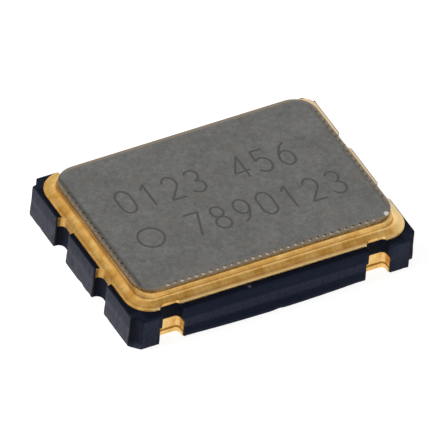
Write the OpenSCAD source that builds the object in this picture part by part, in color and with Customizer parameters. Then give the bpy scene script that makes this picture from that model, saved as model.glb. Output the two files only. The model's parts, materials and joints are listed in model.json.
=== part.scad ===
// Surface-mount crystal oscillator: a quartz blank and its chip sealed in a ceramic package.
// X runs along the long sides and Z is up. Z = 0 is the underside of the solder pads.

/* [Ceramic body] */
// Length of the body
body_l = 7; // [6.6:0.1:7.6]
// Width of the body
body_w = 5; // [4.8:0.1:5.6]
// Thickness of the layers below the chip
floor_t = 0.25; // [0.18:0.01:0.35]
// Thickness of the layer round the chip, up to the wire shelf
chip_layer_t = 0.2; // [0.16:0.01:0.3]
// Thickness of the layer from the wire shelf up to the crystal shelf
shelf_layer_t = 0.2; // [0.16:0.01:0.3]
// Thickness of the top layer, up to the seal land
wall_layer_t = 0.17; // [0.12:0.01:0.3]
// Radius of the quarter-round notch at each corner
corner_r = 0.2; // [0.1:0.01:0.3]
// How far the scored edges lie inside the side faces
score_in = 0.025; // [0.01:0.005:0.035]
// Height of the scored edges
score_h = 0.1; // [0.04:0.01:0.2]

/* [Cavity] */
// Wall between the short sides and the cavity
wall_x = 0.75; // [0.7:0.01:0.9]
// Wall between the long sides and the cavity
wall_y = 0.8; // [0.75:0.01:0.95]
// Radius of the cavity's corners
cavity_r = 0.25; // [0.1:0.01:0.4]
// Width of the shelf that carries the crystal
crystal_shelf = 0.7; // [0.6:0.01:0.9]
// Length of the chip well
well_l = 2.4; // [2.2:0.05:2.8]
// Width of the chip well
well_w = 1.9; // [1.75:0.05:2]
// Radius of the well's corners
well_r = 0.12; // [0.05:0.01:0.3]
// Place of the well along the body
well_x = 0.2; // [0:0.05:0.4]

/* [Solder terminals] */
// From the ends of the body to the middle of the terminals
terminal_end = 0.96; // [0.9:0.01:1.2]
// Width of the plated notches in the lower layers
low_notch_w = 0.61; // [0.56:0.01:0.8]
// Depth of the plated notches
low_notch_d = 0.27; // [0.25:0.01:0.32]
// Width of the bare notches in the upper layers
up_notch_w = 0.52; // [0.4:0.01:0.56]
// Depth of the bare notches
up_notch_d = 0.24; // [0.2:0.01:0.25]
// Corner radius at the back of the notches
notch_r = 0.12; // [0.06:0.01:0.18]
// Thickness of the plating in the notches
plating_t = 0.02; // [0.01:0.005:0.03]
// Distance that plating and pads stop short of the side faces
plating_edge = 0.04; // [0.035:0.005:0.08]
// Width of the pads along the body
pad_l = 1.4; // [1.2:0.05:1.6]
// Length of the pads across the body
pad_w = 1.1; // [0.9:0.05:1.4]
// Thickness of the pads
pad_t = 0.02; // [0.01:0.005:0.04]
// Height of the layer seam above the pads
seam_z = 0.1; // [0.06:0.01:0.15]
// Height of the seam
seam_h = 0.02; // [0.01:0.005:0.04]
// Depth of the seam in the plating
seam_d = 0.008; // [0.004:0.001:0.009]

/* [Side terminals] */
// Distance between the side notches across the body
side_pitch = 1.78; // [1.6:0.02:2]
// Width of the side notches
side_notch_w = 0.57; // [0.45:0.01:0.62]
// Depth of the side notches
side_notch_d = 0.21; // [0.16:0.01:0.25]
// Corner radius at the back of the side notches
side_notch_r = 0.15; // [0.08:0.01:0.2]
// Bare ceramic between the side plating and the seal land
side_gap = 0.02; // [0.01:0.005:0.05]

/* [Seal] */
// Bare ceramic outside the land on the short sides
land_edge_x = 0.08; // [0.06:0.01:0.12]
// Bare ceramic outside the land on the long sides
land_edge_y = 0.175; // [0.14:0.005:0.2]
// Corner radius of the land
land_r = 0.62; // [0.55:0.01:0.7]
// Thickness of the land
land_t = 0.02; // [0.01:0.005:0.03]
// Distance that the land stops short of the notches
land_clear = 0.01; // [0:0.005:0.03]
// From the land's edge to the ring on the short sides
ring_step_x = 0.24; // [0.22:0.01:0.28]
// From the land's edge to the ring on the long sides
ring_step_y = 0.19; // [0.18:0.01:0.22]
// Width of the ring's wall
ring_wall = 0.35; // [0.3:0.01:0.38]
// Height of the ring
ring_h = 0.28; // [0.2:0.01:0.4]
// Inner corner radius of the ring
ring_bore_r = 0.25; // [0.15:0.01:0.4]
// Thickness of the braze under the ring
braze_t = 0.02; // [0.01:0.005:0.03]
// Width of the land left bare outside the fillet on the long sides
fillet_edge = 0.025; // [0.01:0.005:0.05]
// Height of the braze fillet above the land
fillet_h = 0.11; // [0.06:0.01:0.18]

/* [Lid] */
// Thickness of the lid
lid_t = 0.1; // [0.08:0.01:0.15]
// How far the lid lies inside the ring on the short sides
lid_in_x = 0.03; // [0:0.005:0.06]
// How far the lid lies inside the ring on the long sides
lid_in_y = 0.01; // [0:0.005:0.06]
// Width of the edge that the weld rollers press down
weld_w = 0.1; // [0.06:0.01:0.14]
// How far the lid's edge is pressed down
weld_drop = 0.02; // [0.005:0.005:0.04]

/* [Quartz crystal] */
// Thickness of the quartz blank
blank_t = 0.07; // [0.05:0.005:0.1]
// Gap between the blank's glued end and the cavity's wall
blank_gap = 0.15; // [0.1:0.01:0.2]
// Gap between the blank's free end and the cavity's wall
blank_free_gap = 0.75; // [0.3:0.05:1]
// Gap between the blank and the cavity's long walls
blank_side_gap = 0.5; // [0.3:0.05:0.6]
// Bare quartz at the ends of the electrodes
electrode_end = 0.8; // [0.6:0.05:1]
// Bare quartz beside the electrodes
electrode_side = 0.4; // [0.3:0.05:0.6]
// Thickness of the electrodes
electrode_t = 0.005; // [0.003:0.001:0.01]
// Width of the tabs that lead from the electrodes to the glue
tab_w = 0.4; // [0.3:0.01:0.5]
// From the blank's long edges to the middle of the glue dots
glue_side = 0.45; // [0.35:0.01:0.6]
// Radius of the glue dots
glue_r = 0.2; // [0.14:0.01:0.22]
// Thickness of the glue
glue_t = 0.03; // [0.02:0.005:0.06]
// Bare ceramic on both sides of the lands on the crystal shelf
crystal_land_gap = 0.08; // [0.04:0.01:0.1]

/* [Chip] */
// Length of the chip
chip_l = 1.5; // [1.3:0.05:1.7]
// Width of the chip
chip_w = 1.25; // [1.1:0.05:1.4]
// Thickness of the chip
chip_t = 0.15; // [0.1:0.01:0.18]
// Thickness of the glue under the chip
chip_glue_t = 0.02; // [0.01:0.005:0.04]
// How far the glue shows round the chip
chip_glue_rim = 0.05; // [0.02:0.01:0.08]
// Gap between the chip's land and the walls of its well
chip_land_gap = 0.15; // [0.1:0.01:0.17]
// Thickness of the inner plating
film_t = 0.015; // [0.01:0.005:0.02]

/* [Bond wires] */
// Diameter of the wires
wire_d = 0.025; // [0.018:0.001:0.03]
// Height of a wire's bow above the line between its ends
wire_bow = 0.08; // [0.05:0.01:0.1]
// Radius of the ball on the chip
ball_r = 0.035; // [0.025:0.001:0.04]
// Height of the ball
ball_h = 0.03; // [0.028:0.001:0.035]
// Radius of the stitch on the finger
stitch_r = 0.032; // [0.026:0.001:0.04]
// Height of the stitch
stitch_h = 0.026; // [0.024:0.001:0.035]
// Distance between the chip's contacts
contact_pitch = 0.36; // [0.3:0.01:0.4]
// Distance of the contacts from the chip's edge
contact_edge = 0.09; // [0.07:0.01:0.15]
// Distance between the bond fingers
finger_pitch = 0.55; // [0.45:0.01:0.6]
// Width of the bond fingers
finger_w = 0.3; // [0.2:0.01:0.35]
// Gap between the fingers and the edge of the well
finger_gap = 0.08; // [0.04:0.01:0.12]
// Gap between the fingers and the cavity's long walls
finger_wall_gap = 0.22; // [0.1:0.01:0.3]

/* [Hidden] */
$fn = 64;

CORNERS = 4;
ROW = 4;

alumina = [0.10, 0.11, 0.16];
gold = [0.85, 0.66, 0.33];
nickel = [0.45, 0.45, 0.43];
quartz = [0.85, 0.90, 0.92];
silver = [0.80, 0.80, 0.80];
silicon = [0.35, 0.36, 0.42];
silver_glue = [0.62, 0.60, 0.56];

// Cuts reach this far past the face that they open
over = 0.5;

// Heights, from the pads up
base_z = pad_t;
well_z = base_z + floor_t;
wire_shelf_z = well_z + chip_layer_t;
crystal_shelf_z = wire_shelf_z + shelf_layer_t;
land_z = crystal_shelf_z + wall_layer_t;
body_h = land_z - base_z;
braze_z = land_z + land_t;
ring_z = braze_z + braze_t;
lid_z = ring_z + ring_h;

// Where the terminals sit
terminal_pitch = body_l - 2 * terminal_end;

// Outlines of the seal, from the body inwards
land_l = body_l - 2 * land_edge_x;
land_w = body_w - 2 * land_edge_y;
ring_l = land_l - 2 * ring_step_x;
ring_w = land_w - 2 * ring_step_y;
bore_l = ring_l - 2 * ring_wall;
bore_w = ring_w - 2 * ring_wall;
lid_l = ring_l - 2 * lid_in_x;
lid_w = ring_w - 2 * lid_in_y;
ring_r = land_r - ring_step_x;
lid_r = ring_r - lid_in_x;
fillet_w = ring_step_y - fillet_edge;

// Cavity and what stands in it
cavity_l = body_l - 2 * wall_x;
cavity_w = body_w - 2 * wall_y;
shelf_x = (crystal_shelf - cavity_l) / 2;
blank_x = -cavity_l / 2 + blank_gap;
blank_l = cavity_l - blank_gap - blank_free_gap;
blank_w = cavity_w - 2 * blank_side_gap;
electrode_l = blank_l - 2 * electrode_end;
electrode_w = blank_w - 2 * electrode_side;
glue_y = blank_w / 2 - glue_side;
crystal_land_w = crystal_shelf - 2 * crystal_land_gap;
film_top_z = crystal_shelf_z + film_t;
blank_z = film_top_z + glue_t + electrode_t;
chip_glue_z = well_z + film_t;
chip_z = chip_glue_z + chip_glue_t;
chip_top_z = chip_z + chip_t;
finger_top_z = wire_shelf_z + film_t;
finger_l = (cavity_w - well_w) / 2 - finger_gap - finger_wall_gap;

// Terminals count from the marked corner, anticlockwise from above
function side_x(i) = (i == 1 || i == 4) ? -1 : 1;
function side_y(i) = i <= 2 ? -1 : 1;

// Contacts 1 to 4 lie on the near side of the chip, 5 to 8 on the far side
function row_y(i) = i <= ROW ? -1 : 1;
function row_x(i, pitch) = well_x + (((i - 1) % ROW) - (ROW - 1) / 2) * pitch;
function finger_y(i) = row_y(i) * (well_w / 2 + finger_gap);

// Rectangle with round corners, centred
module round_rect(l, w, r) {
    square([l - 2 * r, w], center = true);
    square([l, w - 2 * r], center = true);
    for (x = [-1, 1], y = [-1, 1])
        translate([x * (l / 2 - r), y * (w / 2 - r)]) circle(r);
}

// Flat frame between two such rectangles
module round_frame(l, w, r, in_l, in_w, in_r) {
    difference() {
        round_rect(l, w, r);
        round_rect(in_l, in_w, in_r);
    }
}

// Carries a section round a rectangle with round corners: its X points outwards, its Y up
module sweep_round(l, w, r) {
    for (turn = [0, 180]) rotate(turn) {
        translate([0, w / 2, 0]) rotate([90, 0, 90])
            linear_extrude(l - 2 * r, center = true) children();
        translate([l / 2, 0, 0]) rotate([90, 0, 0])
            linear_extrude(w - 2 * r, center = true) children();
        translate([l / 2 - r, w / 2 - r, 0])
            rotate_extrude(angle = 90) translate([r, 0]) children();
        translate([r - l / 2, w / 2 - r, 0]) rotate(90)
            rotate_extrude(angle = 90) translate([r, 0]) children();
    }
}

// Notch that opens at Y = 0 and runs inwards along +Y, with round corners at its back
module notch(w, d, r) {
    translate([-w / 2, -over]) square([w, over + d - r]);
    translate([r - w / 2, -over]) square([w - 2 * r, over + d]);
    for (x = [-1, 1])
        translate([x * (w / 2 - r), d - r]) circle(r);
}

// Lining of a notch, kept clear of the side face
module notch_lining(w, d, r) {
    difference() {
        intersection() {
            notch(w, d, r);
            translate([-w, plating_edge]) square([2 * w, d]);
        }
        notch(w - 2 * plating_t, d - plating_t, r - plating_t);
    }
}

// Places a shape at a solder notch, and at a side notch
module at_notch(i) {
    translate([side_x(i) * terminal_pitch / 2, side_y(i) * body_w / 2])
        rotate(side_y(i) < 0 ? 0 : 180) children();
}
module at_side_notch(i) {
    translate([side_x(i) * body_l / 2, side_y(i) * side_pitch / 2])
        rotate(side_x(i) < 0 ? -90 : 90) children();
}

// Quarter-round notches at the body's corners, grown by a clearance
module corner_notches(grow) {
    for (x = [-1, 1], y = [-1, 1])
        translate([x * body_l / 2, y * body_w / 2]) circle(corner_r + grow);
}

// All notches that reach the ceramic's top, grown by a clearance
module top_notches(grow) {
    for (i = [1:CORNERS]) {
        at_notch(i) notch(up_notch_w + 2 * grow, up_notch_d + grow, notch_r + grow);
        at_side_notch(i) notch(side_notch_w + 2 * grow, side_notch_d + grow, side_notch_r + grow);
    }
}

// Side view of the body, whose scored edges slope inwards at the top and the bottom
module scored_profile(length) {
    half = length / 2;
    polygon([
        [-half + score_in, 0], [half - score_in, 0],
        [half, score_h], [half, body_h - score_h],
        [half - score_in, body_h], [-half + score_in, body_h],
        [-half, body_h - score_h], [-half, score_h]
    ]);
}

module body_block() {
    translate([0, 0, base_z]) intersection() {
        rotate([90, 0, 0])
            linear_extrude(body_w, center = true) scored_profile(body_l);
        rotate([90, 0, 90])
            linear_extrude(body_l, center = true) scored_profile(body_w);
    }
}

module ceramic_base() {
    color(alumina) difference() {
        body_block();
        // Wide notches in the lower layers
        translate([0, 0, -over]) linear_extrude(over + wire_shelf_z)
            for (i = [1:CORNERS])
                at_notch(i) notch(low_notch_w, low_notch_d, notch_r);
        // Narrow notches, side notches and corner notches through to the top
        translate([0, 0, -over]) linear_extrude(body_h + 2 * over) {
            top_notches(0);
            corner_notches(0);
        }
        // Cavity, with a shelf for the crystal at one end
        translate([0, 0, crystal_shelf_z]) linear_extrude(over)
            round_rect(cavity_l, cavity_w, cavity_r);
        translate([crystal_shelf / 2, 0, wire_shelf_z]) linear_extrude(over)
            round_rect(cavity_l - crystal_shelf, cavity_w, cavity_r);
        translate([well_x, 0, well_z]) linear_extrude(over)
            round_rect(well_l, well_w, well_r);
    }
}

module seal_land() {
    color(gold) translate([0, 0, land_z]) linear_extrude(land_t)
        difference() {
            round_frame(land_l, land_w, land_r, bore_l, bore_w, ring_bore_r);
            top_notches(land_clear);
        }
}

// Section of the fillet: a low foot that reaches under the ring, and a hollow curve that
// meets the foot level
module fillet_section() {
    lap = ring_wall / 2;
    rise = fillet_h - braze_t;
    hollow_r = (fillet_w * fillet_w + rise * rise) / (2 * rise);
    translate([-lap, 0]) square([lap + fillet_w, braze_t]);
    difference() {
        square([fillet_w, fillet_h]);
        translate([fillet_w, braze_t + hollow_r]) circle(hollow_r);
    }
}

module seal_braze() {
    color(gold) translate([0, 0, braze_z]) difference() {
        union() {
            linear_extrude(braze_t)
                round_frame(ring_l, ring_w, ring_r, bore_l, bore_w, ring_bore_r);
            sweep_round(ring_l, ring_w, ring_r) fillet_section();
        }
        translate([0, 0, -over]) linear_extrude(fillet_h + 2 * over)
            top_notches(land_clear);
    }
}

module seal_ring() {
    color(gold) translate([0, 0, ring_z]) linear_extrude(ring_h)
        round_frame(ring_l, ring_w, ring_r, bore_l, bore_w, ring_bore_r);
}

// Section of the lid's rim: flat where it laps over the middle, then sloping down to the edge
module rim_section() {
    lap = weld_w / 2;
    polygon([
        [-weld_w - lap, 0], [0, 0], [0, lid_t - weld_drop],
        [-weld_w, lid_t], [-weld_w - lap, lid_t]
    ]);
}

module lid() {
    color(nickel) translate([0, 0, lid_z]) {
        linear_extrude(lid_t)
            round_rect(lid_l - 2 * weld_w, lid_w - 2 * weld_w, lid_r - weld_w);
        sweep_round(lid_l, lid_w, lid_r) rim_section();
    }
}

module terminal(i) {
    inner_w = low_notch_w - 2 * plating_t;
    inner_d = low_notch_d - plating_t;
    inner_r = notch_r - plating_t;
    color(gold) {
        linear_extrude(pad_t) difference() {
            at_notch(i) difference() {
                translate([-pad_l / 2, plating_edge]) square([pad_l, pad_w]);
                notch(inner_w, inner_d, inner_r);
            }
            corner_notches(plating_edge);
        }
        difference() {
            translate([0, 0, base_z]) linear_extrude(wire_shelf_z - base_z)
                at_notch(i) notch_lining(low_notch_w, low_notch_d, notch_r);
            translate([0, 0, base_z + seam_z]) linear_extrude(seam_h)
                at_notch(i) notch(inner_w + 2 * seam_d, inner_d + seam_d, inner_r + seam_d);
        }
    }
}

module side_terminal(i) {
    color(gold) translate([0, 0, wire_shelf_z])
        linear_extrude(land_z - side_gap - wire_shelf_z)
            at_side_notch(i) notch_lining(side_notch_w, side_notch_d, side_notch_r);
}

module quartz_blank() {
    color(quartz) translate([blank_x, -blank_w / 2, blank_z])
        cube([blank_l, blank_w, blank_t]);
}

// Electrode film with a tab to the blank's end, on one side of the middle line
module electrode_film(side) {
    translate([blank_x + electrode_end, -electrode_w / 2]) square([electrode_l, electrode_w]);
    translate([blank_x, side * glue_y - tab_w / 2]) square([electrode_end + tab_w, tab_w]);
}

module top_electrode() {
    color(silver) {
        translate([0, 0, blank_z + blank_t]) linear_extrude(electrode_t) electrode_film(1);
        // The tab runs down over the blank's end and under it, to the glue
        translate([blank_x - electrode_t, glue_y - tab_w / 2, blank_z - electrode_t])
            cube([electrode_t, tab_w, blank_t + 2 * electrode_t]);
        translate([blank_x, glue_y - tab_w / 2, blank_z - electrode_t])
            cube([tab_w, tab_w, electrode_t]);
    }
}

module bottom_electrode() {
    color(silver) translate([0, 0, blank_z - electrode_t])
        linear_extrude(electrode_t) electrode_film(-1);
}

module crystal_glue(side) {
    color(silver_glue) translate([shelf_x, side * glue_y, film_top_z])
        cylinder(r = glue_r, h = glue_t);
}

module crystal_land(side) {
    color(gold) translate([shelf_x, side * glue_y, crystal_shelf_z])
        linear_extrude(film_t) square(crystal_land_w, center = true);
}

module oscillator_chip() {
    color(silicon) translate([well_x, 0, chip_z])
        linear_extrude(chip_t) square([chip_l, chip_w], center = true);
}

module chip_glue() {
    color(silver_glue) translate([well_x, 0, chip_glue_z]) linear_extrude(chip_glue_t)
        round_rect(chip_l + 2 * chip_glue_rim, chip_w + 2 * chip_glue_rim, 2 * chip_glue_rim);
}

module chip_land() {
    color(gold) translate([well_x, 0, well_z]) linear_extrude(film_t)
        square([well_l - 2 * chip_land_gap, well_w - 2 * chip_land_gap], center = true);
}

module bond_finger(i) {
    color(gold) translate([row_x(i, finger_pitch), finger_y(i), wire_shelf_z])
        linear_extrude(film_t) translate([-finger_w / 2, row_y(i) < 0 ? -finger_l : 0])
            square([finger_w, finger_l]);
}

// Wire in one round bow, from the ball on the chip to the stitch on its finger
module bond_wire(i) {
    contact = [row_x(i, contact_pitch), row_y(i) * (chip_w / 2 - contact_edge), chip_top_z];
    landing = [row_x(i, finger_pitch), finger_y(i) + row_y(i) * finger_l / 2, finger_top_z];
    start = contact + [0, 0, ball_h * 0.6];
    end = landing + [0, 0, stitch_h * 0.6];
    run = end - start;
    span = norm([run[0], run[1]]);
    chord = norm(run);
    bow_r = (chord * chord / 4 + wire_bow * wire_bow) / (2 * wire_bow);
    half_angle = asin(chord / 2 / bow_r);
    color(gold) {
        translate(contact) cylinder(r = ball_r, h = ball_h);
        translate(landing) cylinder(r = stitch_r, h = stitch_h);
        translate(start)
            rotate([0, -atan2(run[2], span), atan2(run[1], run[0])])
                translate([chord / 2, 0, wire_bow - bow_r])
                    rotate([90, 0, 0]) rotate(90 - half_angle)
                        rotate_extrude(angle = 2 * half_angle)
                            translate([bow_r, 0]) circle(d = wire_d);
    }
}

ceramic_base();
seal_land();
seal_braze();
seal_ring();
lid();
for (i = [1:CORNERS]) terminal(i);
for (i = [1:CORNERS]) side_terminal(i);
quartz_blank();
top_electrode();
bottom_electrode();
crystal_glue(1);  // crystal_glue_1
crystal_glue(-1);  // crystal_glue_2
crystal_land(1);  // crystal_land_1
crystal_land(-1);  // crystal_land_2
oscillator_chip();
chip_glue();
chip_land();
for (i = [1:2 * ROW]) bond_finger(i);
for (i = [1:2 * ROW]) bond_wire(i);
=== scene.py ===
import json
import math
import bmesh
import bpy
from mathutils import Matrix, Vector, noise

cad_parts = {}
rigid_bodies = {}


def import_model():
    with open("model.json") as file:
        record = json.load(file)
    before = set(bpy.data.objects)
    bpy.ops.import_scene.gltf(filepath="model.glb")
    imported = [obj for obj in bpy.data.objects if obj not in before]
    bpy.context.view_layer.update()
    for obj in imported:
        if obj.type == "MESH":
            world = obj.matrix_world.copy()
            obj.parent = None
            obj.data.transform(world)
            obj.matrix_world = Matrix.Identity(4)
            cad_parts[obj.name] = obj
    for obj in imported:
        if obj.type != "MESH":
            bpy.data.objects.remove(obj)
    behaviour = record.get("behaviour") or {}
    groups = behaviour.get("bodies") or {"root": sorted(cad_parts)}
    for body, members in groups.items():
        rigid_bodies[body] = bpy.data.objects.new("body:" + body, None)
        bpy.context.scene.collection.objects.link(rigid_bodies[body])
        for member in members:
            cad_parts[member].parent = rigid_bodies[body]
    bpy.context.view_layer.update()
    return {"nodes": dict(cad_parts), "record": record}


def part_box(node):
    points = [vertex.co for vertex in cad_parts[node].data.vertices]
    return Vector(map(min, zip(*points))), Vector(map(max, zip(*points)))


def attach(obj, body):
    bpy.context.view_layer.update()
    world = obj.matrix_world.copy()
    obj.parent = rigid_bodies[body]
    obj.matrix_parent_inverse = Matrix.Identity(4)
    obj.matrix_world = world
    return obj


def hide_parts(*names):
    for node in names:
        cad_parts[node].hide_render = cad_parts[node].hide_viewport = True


# Surface-mount crystal oscillator, seen close, from above its marked corner
# Pieces are drawn in millimetres and brought to metres when they are finished

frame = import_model()
toMetres = 0.001
print("frame:", len(frame["nodes"]), "nodes")


def boxMm(node):
    low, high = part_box(node)
    return low / toMetres, high / toMetres


def toLinear(hexColour):
    channels = [int(hexColour[i:i + 2], 16) / 255 for i in (1, 3, 5)]
    linear = [c / 12.92 if c <= 0.04045 else ((c + 0.055) / 1.055) ** 2.4 for c in channels]
    return (*linear, 1.0)


def addNode(tree, kind, inputs=(), stops=(), **settings):
    # Inputs are values or sockets to link from, by name or number or in order; stops are a colour ramp's
    # A Map Range takes its value, the two ends of the range it comes from and the two of the one it goes to
    # A colour Mix has its factor at 0 and its colours at 6 and 7, and gives the mixed one at 2
    node = tree.nodes.new(kind)
    for name, value in settings.items():
        setattr(node, name, value)
    for key, value in inputs.items() if isinstance(inputs, dict) else enumerate(inputs):
        if isinstance(value, bpy.types.NodeSocket):
            tree.links.new(value, node.inputs[key])
        else:
            node.inputs[key].default_value = value
    for k, (position, colour) in enumerate(stops):
        elements = node.color_ramp.elements
        element = elements[k] if k < len(elements) else elements.new(position)
        element.position = position
        element.color = toLinear(colour)
    return node


# Camera, at the photograph's angle: place and aim in millimetres, lens for a square picture
viewpoint = {
    "place": (-145.164, -233.746, 251.405),
    "aim": (-0.095, -0.144, 0.602),
    "roll": 5.651,
    "lens": 1388.15,
    "sensor": 36.0,
    "near": 0.01,
}


def makeCamera():
    place = Vector(viewpoint["place"])
    forward = (Vector(viewpoint["aim"]) - place).normalized()
    level = forward.cross(Vector((0, 0, 1))).normalized()
    upright = level.cross(forward)
    roll = math.radians(viewpoint["roll"])
    right = level * math.cos(roll) + upright * math.sin(roll)
    up = upright * math.cos(roll) - level * math.sin(roll)
    data = bpy.data.cameras.new("camera")
    data.lens = viewpoint["lens"]
    data.sensor_width = viewpoint["sensor"]
    data.clip_start = viewpoint["near"]
    camera = bpy.data.objects.new("camera", data)
    bpy.context.scene.collection.objects.link(camera)
    turn = Matrix((right, up, -forward)).transposed().to_4x4()
    camera.matrix_world = Matrix.Translation(place * toMetres) @ turn
    bpy.context.scene.camera = camera


makeCamera()
print("camera ready")

# Light: a white tent, brightest low down and darker behind the camera, and one broad lamp from the left
studio = {
    "tentLevel": 0.7,             # light that the tent gives
    "shadeLevel": 0.12,           # and how much of it comes from the opening
    "lowTone": 1.15, "highTone": 0.72,  # its tone in mirrors, at the horizon and overhead
    "toneHeights": (0.05, 0.75),  # heights between which the tone changes
    "darkSide": (0.3, -0.68, 0.67),  # where the tent is open, towards the camera
    "openLevel": 0.6,             # how bright the opening is, beside the tent's 1
    "openFrom": 0.55,             # cosines between which the opening fades out
    "openTo": 0.95,
    "lampPlace": (-0.42, 0.2, 0.36),
    "lampSize": 0.4,
    "lampPower": 2.5,
    "floorSize": 0.5,
    "floorColour": "#b8b7b5",
    "floorLift": 0.9,             # what takes the plain floor up to white in the picture
    "floorGlow": (0.5, 0.93),     # and what it adds in mirrors, behind the part and before it
    "glowAxis": (0.45, -0.89, 0),  # the way it grows, between two places along it in millimetres
    "glowFade": (-0.5, 1.2),
}


def makeWorld():
    world = bpy.data.worlds.new("white tent")
    bpy.context.scene.world = world
    world.use_nodes = True
    tree = world.node_tree
    tree.nodes.clear()
    direction = addNode(tree, "ShaderNodeTexCoord").outputs["Generated"]
    towards = addNode(tree, "ShaderNodeVectorMath", (
        direction, Vector(studio["darkSide"]).normalized(),
    ), operation="DOT_PRODUCT").outputs["Value"]
    opening = addNode(tree, "ShaderNodeMapRange", {
        "Value": towards, "From Min": studio["openFrom"], "From Max": studio["openTo"],
        "To Min": 1.0, "To Max": studio["openLevel"],
    }, interpolation_type="SMOOTHSTEP").outputs["Result"]
    height = addNode(tree, "ShaderNodeSeparateXYZ", (direction,)).outputs["Z"]
    level = addNode(tree, "ShaderNodeMapRange", {
        "Value": height, "From Min": studio["toneHeights"][0], "From Max": studio["toneHeights"][1],
        "To Min": studio["lowTone"], "To Max": studio["highTone"],
    }, interpolation_type="SMOOTHSTEP").outputs["Result"]
    tone = addNode(tree, "ShaderNodeMath", (level, opening), operation="MULTIPLY").outputs[0]
    shade = addNode(tree, "ShaderNodeMapRange", {
        "Value": towards, "From Min": -0.1, "From Max": 0.8,
        "To Min": studio["tentLevel"], "To Max": studio["shadeLevel"],
    }, interpolation_type="SMOOTHSTEP").outputs["Result"]
    lighting = addNode(tree, "ShaderNodeMath", (level, shade), operation="MULTIPLY")
    path = addNode(tree, "ShaderNodeLightPath")
    mirrored = addNode(tree, "ShaderNodeMath", (
        path.outputs["Is Glossy Ray"], path.outputs["Is Transmission Ray"],
    ), operation="MAXIMUM").outputs[0]
    seen = addNode(tree, "ShaderNodeMix", {
        "Factor": mirrored, "A": lighting.outputs[0], "B": tone,
    }).outputs["Result"]
    strength = addNode(tree, "ShaderNodeMix", {
        "Factor": path.outputs["Is Camera Ray"], "A": seen, "B": 1.0,
    }).outputs["Result"]
    background = addNode(tree, "ShaderNodeBackground", {"Color": (1, 1, 1, 1), "Strength": strength})
    addNode(tree, "ShaderNodeOutputWorld", {"Surface": background.outputs[0]})


def makeLamp():
    data = bpy.data.lights.new("soft lamp", "AREA")
    data.size = studio["lampSize"]
    data.energy = studio["lampPower"]
    lamp = bpy.data.objects.new("soft lamp", data)
    place = Vector(studio["lampPlace"])
    lamp.location = place
    lamp.visible_glossy = False  # the metal mirrors the tent alone
    lamp.rotation_euler = (-place).to_track_quat("-Z", "Y").to_euler()
    bpy.context.scene.collection.objects.link(lamp)


def makeFloor():
    half = studio["floorSize"] / 2
    mesh = bpy.data.meshes.new("floor")
    corners = [(-half, -half, 0), (half, -half, 0), (half, half, 0), (-half, half, 0)]
    mesh.from_pydata(corners, [], [(0, 1, 2, 3)])
    floor = bpy.data.objects.new("floor", mesh)
    bpy.context.scene.collection.objects.link(floor)
    material = bpy.data.materials.new("white card")  # keeps the shadow, and is white where it has none
    material.use_nodes = True
    tree = material.node_tree
    tree.nodes.clear()
    matt = addNode(tree, "ShaderNodeBsdfDiffuse", {"Color": toLinear(studio["floorColour"])})
    path = addNode(tree, "ShaderNodeLightPath")
    place = addNode(tree, "ShaderNodeTexCoord").outputs["Object"]
    before = addNode(tree, "ShaderNodeVectorMath", (place, studio["glowAxis"]), operation="DOT_PRODUCT")
    glowing = addNode(tree, "ShaderNodeMapRange", {
        "Value": before.outputs["Value"],
        "From Min": studio["glowFade"][0] * toMetres, "From Max": studio["glowFade"][1] * toMetres,
        "To Min": studio["floorGlow"][0], "To Max": studio["floorGlow"][1],
    }, interpolation_type="SMOOTHSTEP").outputs["Result"]
    mirrored = addNode(tree, "ShaderNodeMath", (
        path.outputs["Is Glossy Ray"], glowing,
    ), operation="MULTIPLY").outputs[0]
    lift = addNode(tree, "ShaderNodeMix", {
        "Factor": path.outputs["Is Camera Ray"], "A": mirrored, "B": studio["floorLift"],
    }).outputs["Result"]
    glow = addNode(tree, "ShaderNodeEmission", {"Color": (1, 1, 1, 1), "Strength": lift})
    both = addNode(tree, "ShaderNodeAddShader", (matt.outputs[0], glow.outputs[0]))
    addNode(tree, "ShaderNodeOutputMaterial", {"Surface": both.outputs[0]})
    mesh.materials.append(material)


makeWorld()
makeLamp()
makeFloor()
bpy.context.scene.view_settings.view_transform = "Standard"
print("light and floor ready")


# Materials

finerShare = 0.55  # how strong each finer octave of a noise is, beside the one before it
noiseRange = (0.3, 0.7)  # nearly all of a noise's values lie between these


def startMaterial(name):
    material = bpy.data.materials.new(name)
    material.use_nodes = True
    tree = material.node_tree
    tree.nodes.clear()
    place = addNode(tree, "ShaderNodeTexCoord").outputs["Object"]
    perMm = [1 / toMetres] * 3  # so that every scale below counts patches per millimetre
    inMm = addNode(tree, "ShaderNodeMapping", {"Vector": place, "Scale": perMm}).outputs[0]
    return material, tree, inMm


def spot(tree, inMm, place, radius):
    # 1 inside a small ball, fading to 0 at its edge
    away = addNode(tree, "ShaderNodeVectorMath", (inMm, place), operation="DISTANCE").outputs["Value"]
    return addNode(tree, "ShaderNodeMapRange", (away, radius * 0.6, radius, 1.0, 0.0)).outputs[0]


def finishMaterial(tree, colour, roughness, height, bumpMm, **constants):
    bump = addNode(tree, "ShaderNodeBump", {
        "Height": height, "Distance": bumpMm * toMetres, "Strength": 1.0,
    }).outputs[0]
    inputs = {"Base Color": colour, "Roughness": roughness, "Normal": bump}
    inputs.update({name.replace("_", " "): value for name, value in constants.items()})
    surface = addNode(tree, "ShaderNodeBsdfPrincipled", inputs)
    addNode(tree, "ShaderNodeOutputMaterial", {"Surface": surface.outputs[0]})


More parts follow.
